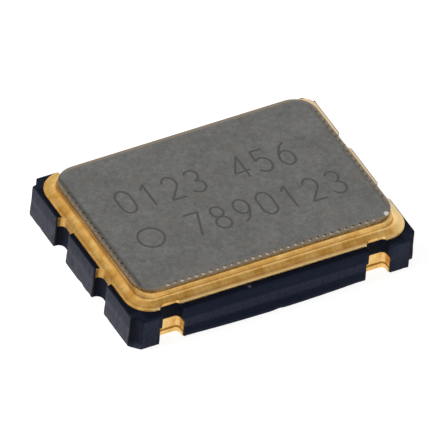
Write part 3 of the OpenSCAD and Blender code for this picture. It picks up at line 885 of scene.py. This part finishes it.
# Numbered from the marked corner; sides run front, right, back, left, each along its own heading
for number, side, heading in ((1, 0, -1), (2, 0, 1), (3, 2, -1), (4, 2, 1)):
    makeTerminal(number, side, heading * notchX)
for number, side, heading in ((1, 3, 1), (2, 1, -1), (3, 1, 1), (4, 3, -1)):
    makeSideTerminal(number, side, heading * sideNotchY)
print("terminals ready")


# Seal: gold film on the ceramic, braze with its hollow fillet, and the ring that it holds
seal = {
    "landRadius": 0.59, "ringRadius": 0.37, "boreRadius": 0.25, "ringWall": 0.35,
    "ring": (-3.15, 3.19, -2.118, 2.17),    # left, right, front and back edge of the ring
    "foot": (-3.35, 3.43, -2.335, 2.44),    # of the braze's foot
    "film": (-3.372, 3.466, -2.33, 2.465),  # and of the gold film
    "filmRadii": (0.59, 0.3, 0.59, 0.59),   # of its corners, from the right front one anticlockwise
    "notchGap": (0.01, -0.02),    # bare ceramic round the front notches; the film laps over the side ones
    "filmEdge": 0.006,            # roundness of the film's edge
    "footHigh": (0.065, 0.012), "filletHigh": 0.165,  # the foot along the long sides and at the ends
    "footRound": 0.2,             # share of the braze's width that rounds its outer edge
    "ringEdge": 0.014,            # roundness of the ring's upper edge
    "ringDraft": 0.03,            # how far the ring's wall leans in, from its foot to its top
}


def notchCutters():
    # One shape with all eight notches, for trimming the film and the braze back from them
    shells = []
    for side in range(4):
        gap = seal["notchGap"][side % 2]
        width, depth = body["sideNotch"] if side % 2 else body["highNotch"]
        radius = (body["sideNotchRadius"] if side % 2 else body["notchRadius"]) + gap
        middle = sideNotchY if side % 2 else notchX
        half = width / 2 + gap
        back, outside = depth + gap, -0.5
        path = turnPath([(-half, outside, 0), (half, outside, 0),
                         (half, back, radius), (-half, back, radius)], 10)
        for centre in (-middle, middle):
            shells.append(stack([placed(path, side, centre, z) for z in (baseHigh.z - 0.1, ringHigh.z)]))
    return makePiece("notchCutters", shells)


def grown(edges, reach):
    left, right, front, back = edges
    return left - reach, right + reach, front - reach, back + reach


def edgeLoop(edges, radii, z):
    # Loop with round corners through four given edges: left, right, front and back
    left, right, front, back = edges
    middle = Vector(((left + right) / 2, (front + back) / 2, 0))
    return [point + middle for point in roundLoop(right - left, back - front, radii, z, 20)]


def boreLoop(z):
    return edgeLoop(grown(seal["ring"], -seal["ringWall"]), seal["boreRadius"], z)


def edgeArc(reach, top, radius, steps=3):
    # Rounded outer edge: pairs of outward distance and height, from the side face to the top
    angles = [math.radians(90 * i / steps) for i in range(steps + 1)]
    return [(reach - radius + radius * math.cos(a), top - radius + radius * math.sin(a)) for a in angles]


def makeLand():
    low, high = landLow.z, landHigh.z
    loops = [edgeLoop(seal["film"], seal["filmRadii"], low)]
    for reach, z in edgeArc(0, high, seal["filmEdge"]):
        radii = tuple(radius + reach for radius in seal["filmRadii"])
        loops.append(edgeLoop(grown(seal["film"], reach), radii, z))
    loops += [boreLoop(high), boreLoop(low)]
    return makePiece("seal_film", [stack(loops, closed=True)])


def footHeight(point, edges, level):
    # Level 0 is the braze's underside, 1 the top of its foot and 2 the top of its hollow curve
    left, right, front, back = edges
    fromEnd = min(point.x - left, right - point.x)
    fromSide = min(point.y - front, back - point.y)
    blend = min(1.0, max(0.0, 0.5 + (fromEnd - fromSide) / (2 * seal["landRadius"])))
    highFoot, lowFoot = seal["footHigh"]
    foot = lowFoot + (highFoot - lowFoot) * blend
    rise = foot * level if level <= 1 else foot + (seal["filletHigh"] - foot) * (level - 1)
    return Vector((point.x, point.y, brazeLow.z + rise))


def makeBraze():
    # Section points are the share of the way from the ring out to the foot, and of the height up to the foot
    low, rounding = brazeLow.z, seal["footRound"]
    section = [(1, 0)] + [(1 - rounding + rounding * math.cos(a), math.sin(a))
                          for a in (math.radians(90 * i / 6) for i in range(7))]
    steps = 12
    for step in range(1, steps + 1):  # hollow curve, level at its foot and upright at the ring
        angle = math.radians(90 * step / steps)
        section.append(((1 - rounding) * (1 - math.sin(angle)), 2 - math.cos(angle)))
    hidden = -0.012  # the braze wets the ring, so the two meet without a crack
    section += [(hidden, 2), (hidden, 1)]
    loops = []
    for share, level in section:
        edges = [here + (foot - here) * share for here, foot in zip(seal["ring"], seal["foot"])]
        radius = seal["ringRadius"] + (seal["landRadius"] - seal["ringRadius"]) * share
        loops.append([footHeight(point, edges, level) for point in edgeLoop(edges, radius, low)])
    loops += [[footHeight(point, seal["ring"], 1) for point in boreLoop(low)], boreLoop(low)]
    return makePiece("braze_fillet", [stack(loops, closed=True)])


def makeRing():
    low, high = ringLow.z, ringHigh.z
    section = [(0, low), (0, low + 0.11)] + edgeArc(-seal["ringDraft"], high, seal["ringEdge"])
    loops = [edgeLoop(grown(seal["ring"], reach), seal["ringRadius"] + reach, z) for reach, z in section]
    return makePiece("alloy_ring", [stack(loops + [boreLoop(high), boreLoop(low)], closed=True)])


sealFilm = makeLand()
cutAway(sealFilm, [notchCutters()])
finishPiece(sealFilm, goldPlate, ["seal_land"])
brazeFillet = makeBraze()
cutAway(brazeFillet, [notchCutters()])
finishPiece(brazeFillet, goldPlate, ["seal_braze"])
finishPiece(makeRing(), ringGold, ["seal_ring"])
print("seal ready")


# Lid: flat sheet whose edge the weld rollers pressed down in small even steps
lid = {
    "radius": 0.55,
    "rollWidth": 0.1, "rollDrop": 0.02,
    "edgeRadius": 0.012,
    "pitch": 0.176,               # between two welding pulses
    "stepDeep": 0.005,            # depth of the dimple that each pulse pressed
    "stepPlace": (0.06, 0.045),   # how far inside the edge it is deepest, and its reach either way
    "spacing": 0.022,             # between points along the rim, eight to a pulse
}


def pressed(x, y, z):
    # Dimples along the straight sides, deepest in the middle of the rolled rim
    gapX, gapY = lidLength / 2 - abs(x), lidWidth / 2 - abs(y)
    inside, along = (gapX, y) if gapX < gapY else (gapY, x)
    deepest, reach = lid["stepPlace"]
    span = max(0.0, 1 - abs(inside - deepest) / reach)
    clearOfCorner = min(1.0, max(0.0, (max(gapX, gapY) - lid["radius"]) / 0.1))
    wave = 0.5 + 0.5 * math.cos(2 * math.pi * along / lid["pitch"])
    return z - lid["stepDeep"] * span * clearOfCorner * wave


def makeLid():
    low, high = lidLow.z, lidHigh.z
    edgeTop = high - lid["rollDrop"]
    section = [(0, low), (0, (low + edgeTop) / 2)] + edgeArc(0, edgeTop + 0.002, lid["edgeRadius"])
    steps = 9
    for step in range(2, steps + 1):
        section.append((-lid["rollWidth"] * step / steps, edgeTop + lid["rollDrop"] * step / steps))
    section.append((-lid["rollWidth"] - 0.02, high))
    loops = []
    for reach, z in section:
        length, width = lidLength + 2 * reach, lidWidth + 2 * reach
        loop = roundLoop(length, width, lid["radius"] + reach, z, 16, lid["spacing"])
        loops.append([Vector((x, y, pressed(x, y, z))) for x, y, z in loop])
    piece = makePiece("lid_sheet", [stack(loops)])
    for face in piece.data.polygons:
        face.material_index = 1 if abs(face.normal.z) < 0.7 and face.center.z < edgeTop - 0.004 else 0
    return piece


lidSheet = finishPiece(layOnSeal(makeLid()), nickelPlate, ["lid"])
lidSheet.data.materials.append(weldScale)
print("lid:", len(lidSheet.data.polygons), "faces")


# Geometry Nodes: a tree with named inputs, and a piece that it grows

def startTree(name, sizes):
    tree = bpy.data.node_groups.new(name, "GeometryNodeTree")
    tree.interface.new_socket("Geometry", in_out="INPUT", socket_type="NodeSocketGeometry")
    for label, value in sizes.items():
        kind = "NodeSocketInt" if isinstance(value, int) else "NodeSocketFloat"
        tree.interface.new_socket(label, in_out="INPUT", socket_type=kind).default_value = value
    tree.interface.new_socket("Geometry", in_out="OUTPUT", socket_type="NodeSocketGeometry")
    return tree, addNode(tree, "NodeGroupInput").outputs


def endTree(tree, geometry, material):
    real = addNode(tree, "GeometryNodeRealizeInstances", {"Geometry": geometry})
    painted = addNode(tree, "GeometryNodeSetMaterial", {"Geometry": real.outputs[0], "Material": material})
    addNode(tree, "NodeGroupOutput", {"Geometry": painted.outputs[0]})


def growPiece(name, tree, sizes, edges=None):
    mesh = bpy.data.meshes.new(name)
    if edges:
        mesh.from_pydata(edges[0], edges[1], [])
    piece = bpy.data.objects.new(name, mesh)
    bpy.context.scene.collection.objects.link(piece)
    modifier = piece.modifiers.new(tree.name, "NODES")
    modifier.node_group = tree
    for item in tree.interface.items_tree:
        if item.in_out == "INPUT" and item.name in sizes:
            modifier[item.identifier] = sizes[item.name]
    bakeModifiers(piece)
    piece.data.materials.clear()  # the same material gets its one slot when the piece is finished
    piece.data.polygons.foreach_set("material_index", [0] * len(piece.data.polygons))
    return piece


def makePulseTree(name, sizes, material):
    # One mark for each welding pulse along the lid's straight edges: a short arc with pointed ends
    tree, given = startTree(name, sizes)
    twice = addNode(tree, "ShaderNodeMath", (given["Inset"], 2.0), operation="MULTIPLY").outputs[0]
    path = addNode(tree, "GeometryNodeCurvePrimitiveQuadrilateral", {
        "Width": addNode(tree, "ShaderNodeMath", (given["Length"], twice), operation="SUBTRACT").outputs[0],
        "Height": addNode(tree, "ShaderNodeMath", (given["Width"], twice), operation="SUBTRACT").outputs[0],
    })
    spots = addNode(tree, "GeometryNodeCurveToPoints", {
        "Curve": path.outputs[0], "Length": given["Pitch"],
    }, mode="LENGTH")
    place = addNode(tree, "ShaderNodeSeparateXYZ", (addNode(tree, "GeometryNodeInputPosition").outputs[0],))
    straight = []
    for axis, size in (("X", "Length"), ("Y", "Width")):
        limit = addNode(tree, "ShaderNodeMath", (
            addNode(tree, "ShaderNodeMath", (given[size], 0.5), operation="MULTIPLY").outputs[0],
            given["Corner"],
        ), operation="SUBTRACT").outputs[0]
        reach = addNode(tree, "ShaderNodeMath", (place.outputs[axis],), operation="ABSOLUTE").outputs[0]
        straight.append(addNode(tree, "ShaderNodeMath", (reach, limit), operation="LESS_THAN").outputs[0])
    within = addNode(tree, "ShaderNodeMath", (
        place.outputs["Y"], given["Back Limit"],
    ), operation="LESS_THAN").outputs[0]
    wanted = addNode(tree, "ShaderNodeMath", (
        addNode(tree, "ShaderNodeMath", (*straight,), operation="MAXIMUM").outputs[0],
        within,
    ), operation="MULTIPLY").outputs[0]
    arc = addNode(tree, "GeometryNodeCurveArc", {
        "Resolution": 9, "Radius": given["Arc Radius"], "Sweep Angle": given["Arc Sweep"],
        "Start Angle": addNode(tree, "ShaderNodeMath", (
            given["Arc Sweep"], -0.5,
        ), operation="MULTIPLY").outputs[0],
    })
    along = addNode(tree, "GeometryNodeSplineParameter").outputs["Factor"]
    swell = addNode(tree, "ShaderNodeMath", (
        addNode(tree, "ShaderNodeMath", (along, math.pi), operation="MULTIPLY").outputs[0],
    ), operation="SINE").outputs[0]
    bead = addNode(tree, "GeometryNodeCurvePrimitiveCircle", {
        "Resolution": 8,
        "Radius": addNode(tree, "ShaderNodeMath", (
            given["Mark Width"], 0.5,
        ), operation="MULTIPLY").outputs[0],
    })
    mark = addNode(tree, "GeometryNodeCurveToMesh", {
        "Curve": arc.outputs["Curve"], "Profile Curve": bead.outputs["Curve"],
        "Scale": addNode(tree, "ShaderNodeMath", (swell, 0.25), operation="MAXIMUM").outputs[0],
        "Fill Caps": True,
    })
    flat = addNode(tree, "ShaderNodeMath", (
        given["Mark Height"], given["Mark Width"],
    ), operation="DIVIDE").outputs[0]
    squeeze = addNode(tree, "ShaderNodeCombineXYZ", {"X": 1.0, "Y": 1.0, "Z": flat})
    back = addNode(tree, "ShaderNodeCombineXYZ", {
        "X": addNode(tree, "ShaderNodeMath", (given["Arc Radius"], -1.0), operation="MULTIPLY").outputs[0],
    })
    flatMark = addNode(tree, "GeometryNodeTransform", {
        "Geometry": mark.outputs[0], "Translation": back.outputs[0], "Scale": squeeze.outputs[0],
    })
    heading = addNode(tree, "FunctionNodeAlignRotationToVector", {
        "Vector": spots.outputs["Tangent"],
    }, axis="X", pivot_axis="Z")
    # Sockets 2 and 3 of a random number are its least and its most
    size = addNode(tree, "FunctionNodeRandomValue", {
        2: 0.78, 3: 1.15, "Seed": given["Seed"],
    }, data_type="FLOAT")
    marks = addNode(tree, "GeometryNodeInstanceOnPoints", {
        "Points": spots.outputs["Points"], "Selection": wanted, "Instance": flatMark.outputs[0],
        "Rotation": heading.outputs[0], "Scale": size.outputs[1],
    })
    lifted = addNode(tree, "GeometryNodeTransform", {
        "Geometry": marks.outputs[0],
        "Translation": addNode(tree, "ShaderNodeCombineXYZ", {"Z": given["Level"]}).outputs[0],
    })
    endTree(tree, lifted.outputs[0], material)
    return tree


# Weld pulses: a dark dimple behind the rolled rim, partly painted shade, and a bright spot on it as a painted
# highlight, for each but those at the back
pulse = {"Length": lidLength, "Width": lidWidth, "Pitch": lid["pitch"], "Corner": lid["radius"] + 0.05}
dimple = dict(pulse, **{
    "Inset": 0.1, "Arc Radius": 0.05, "Arc Sweep": 2.0, "Mark Width": 0.058, "Mark Height": 0.006,
    "Level": lidHigh.z - 0.003, "Back Limit": lidWidth / 2 - 0.3, "Seed": 4,
})
brightSpot = dict(pulse, **{
    "Inset": 0.056, "Arc Radius": 0.06, "Arc Sweep": 1.7, "Mark Width": 0.085, "Mark Height": 0.014,
    "Level": lidHigh.z - 0.011, "Back Limit": lidWidth / 2 - 0.3, "Seed": 9,
})
pulseTree = makePulseTree("weld pulses", dimple, heatTintAndShade)
finishPiece(layOnSeal(growPiece("weld_dimples", pulseTree, dimple)), heatTintAndShade)
spotTree = makePulseTree("bright spots", brightSpot, burnished)
finishPiece(layOnSeal(growPiece("weld_spots", spotTree, brightSpot)), burnished)
print("weld marks ready")


# Marking: plain running digits and an index circle, drawn in single strokes as a laser writes them
marking = {
    "high": 0.71, "wide": 0.36, "stroke": 0.056, "thick": 0.003,
    "lines": (("0123", -2.1, 0.64, 0.57), ("456", 0.7, 0.64, 0.56), ("7890123", -1.0, -0.61, 0.57)),
    "circle": (-2.12, -0.58, 0.3),  # middle and radius
}


def arcStroke(x, y, wide, high, fromAngle, toAngle, steps=14):
    angles = [math.radians(fromAngle + (toAngle - fromAngle) * i / steps) for i in range(steps + 1)]
    return [(x + wide * math.cos(a), y + high * math.sin(a)) for a in angles]


# Each digit's strokes, in a cell one wide and one high
hook = arcStroke(0.5, 0.32, 0.48, 0.32, 0, 360)
digitStrokes = {
    "0": [arcStroke(0.5, 0.68, 0.48, 0.32, 0, 180) + arcStroke(0.5, 0.32, 0.48, 0.32, 180, 360)
          + [(0.98, 0.68)]],
    "1": [[(0.2, 0.78), (0.52, 1)], [(0.52, 1), (0.52, 0)]],
    "2": [arcStroke(0.5, 0.7, 0.44, 0.3, 165, -35) + [(0.04, 0)], [(0.04, 0), (0.98, 0)]],
    "3": [arcStroke(0.46, 0.76, 0.42, 0.24, 155, -90), arcStroke(0.46, 0.26, 0.48, 0.26, 90, -155)],
    "4": [[(0.74, 0), (0.74, 1)], [(0.74, 1), (0.0, 0.3)], [(0.0, 0.3), (1.0, 0.3)]],
    "5": [[(0.9, 1), (0.14, 1)], [(0.14, 1), (0.1, 0.56)], arcStroke(0.46, 0.32, 0.5, 0.32, 135, -150)],
    "6": [hook, [(0.84, 1), (0.46, 0.86), (0.16, 0.6), (0.03, 0.36)]],
    "7": [[(0.0, 1), (0.98, 1)], [(0.98, 1), (0.34, 0)]],
    "8": [arcStroke(0.5, 0.76, 0.4, 0.24, 0, 360), arcStroke(0.5, 0.26, 0.48, 0.26, 0, 360)],
    "9": [[(1 - x, 1 - y) for x, y in hook], [(0.16, 0), (0.54, 0.14), (0.84, 0.4), (0.97, 0.64)]],
}


def markingStrokes():
    strokes = []
    for text, x, y, pitch in marking["lines"]:
        for k, digit in enumerate(text):
            left, foot = x + k * pitch - marking["wide"] / 2, y - marking["high"] / 2
            for stroke in digitStrokes[digit]:
                strokes.append([(left + u * marking["wide"], foot + v * marking["high"]) for u, v in stroke])
    x, y, radius = marking["circle"]
    strokes.append(arcStroke(x, y, radius, radius, 0, 360, 40))
    points, edges = [], []
    for stroke in strokes:
        first = len(points)
        points += [(x, y, 0) for x, y in stroke]
        edges += [(first + i, first + i + 1) for i in range(len(stroke) - 1)]
    return points, edges


def makeStrokeTree(sizes, material):
    tree, given = startTree("laser strokes", sizes)
    line = addNode(tree, "GeometryNodeMeshToCurve", {"Mesh": given["Geometry"]})
    pen = addNode(tree, "GeometryNodeCurvePrimitiveCircle", {
        "Resolution": 8,
        "Radius": addNode(tree, "ShaderNodeMath", (given["Stroke"], 0.5), operation="MULTIPLY").outputs[0],
    })
    bead = addNode(tree, "GeometryNodeCurveToMesh", {
        "Curve": line.outputs[0], "Profile Curve": pen.outputs["Curve"], "Fill Caps": True,
    })
    flat = addNode(tree, "ShaderNodeMath", (given["Thick"], given["Stroke"]), operation="DIVIDE").outputs[0]
    laid = addNode(tree, "GeometryNodeTransform", {
        "Geometry": bead.outputs[0],
        "Scale": addNode(tree, "ShaderNodeCombineXYZ", {"X": 1.0, "Y": 1.0, "Z": flat}).outputs[0],
        "Translation": addNode(tree, "ShaderNodeCombineXYZ", {"Z": given["Level"]}).outputs[0],
    })
    endTree(tree, laid.outputs[0], material)
    return tree


strokeSizes = {"Stroke": marking["stroke"], "Thick": marking["thick"], "Level": lidHigh.z}
strokeTree = makeStrokeTree(strokeSizes, laserMark)
finishPiece(growPiece("lid_marking", strokeTree, strokeSizes, markingStrokes()), laserMark)
print("marking ready")


# Inside the sealed package nothing shows, but each piece has its finish
innerLooks = {
    # Lapped quartz: clear, with a ground surface that frosts it
    "quartz": makeSimple("lapped quartz", ("#dfe6e8", "#eef2f3"), 0.02, (0.3, 0.45), 0.001,
                         Transmission_Weight=0.85, IOR=1.544),
    # Evaporated silver: bright and nearly smooth
    "silver_film": makeSimple("evaporated silver", ("#d3d3d1", "#ecebe8"), 0.05, (0.16, 0.26), 0.0004,
                              Metallic=1.0),
    # Passivated silicon: dark blue-grey and glossy
    "silicon": makeSimple("passivated silicon", ("#30323c", "#43465a", "#565a70"), 0.08, (0.15, 0.3), 0.0004),
    # Silver-filled resin: dull grey with a coarse grain
    "silver_glue": makeSimple("silver-filled resin", ("#8d8983", "#a8a49c", "#bcb8b0"), 0.01, (0.5, 0.7),
                              0.002, Metallic=0.4),
    # Drawn gold wire: rich yellow and smooth
    "gold_wire": makeSimple("drawn gold wire", ("#d8a448", "#ecc070"), 0.02, (0.15, 0.25), 0.0003,
                            Metallic=1.0),
    "gold_plating": goldPlate,
}
slotOf = {entry["node"]: entry["material_slot"] for entry in frame["record"]["subparts"]}
for name, node in frame["nodes"].items():
    if not node.hide_render:
        node.material_slots[0].material = innerLooks[slotOf[name]]
print("inner pieces ready")
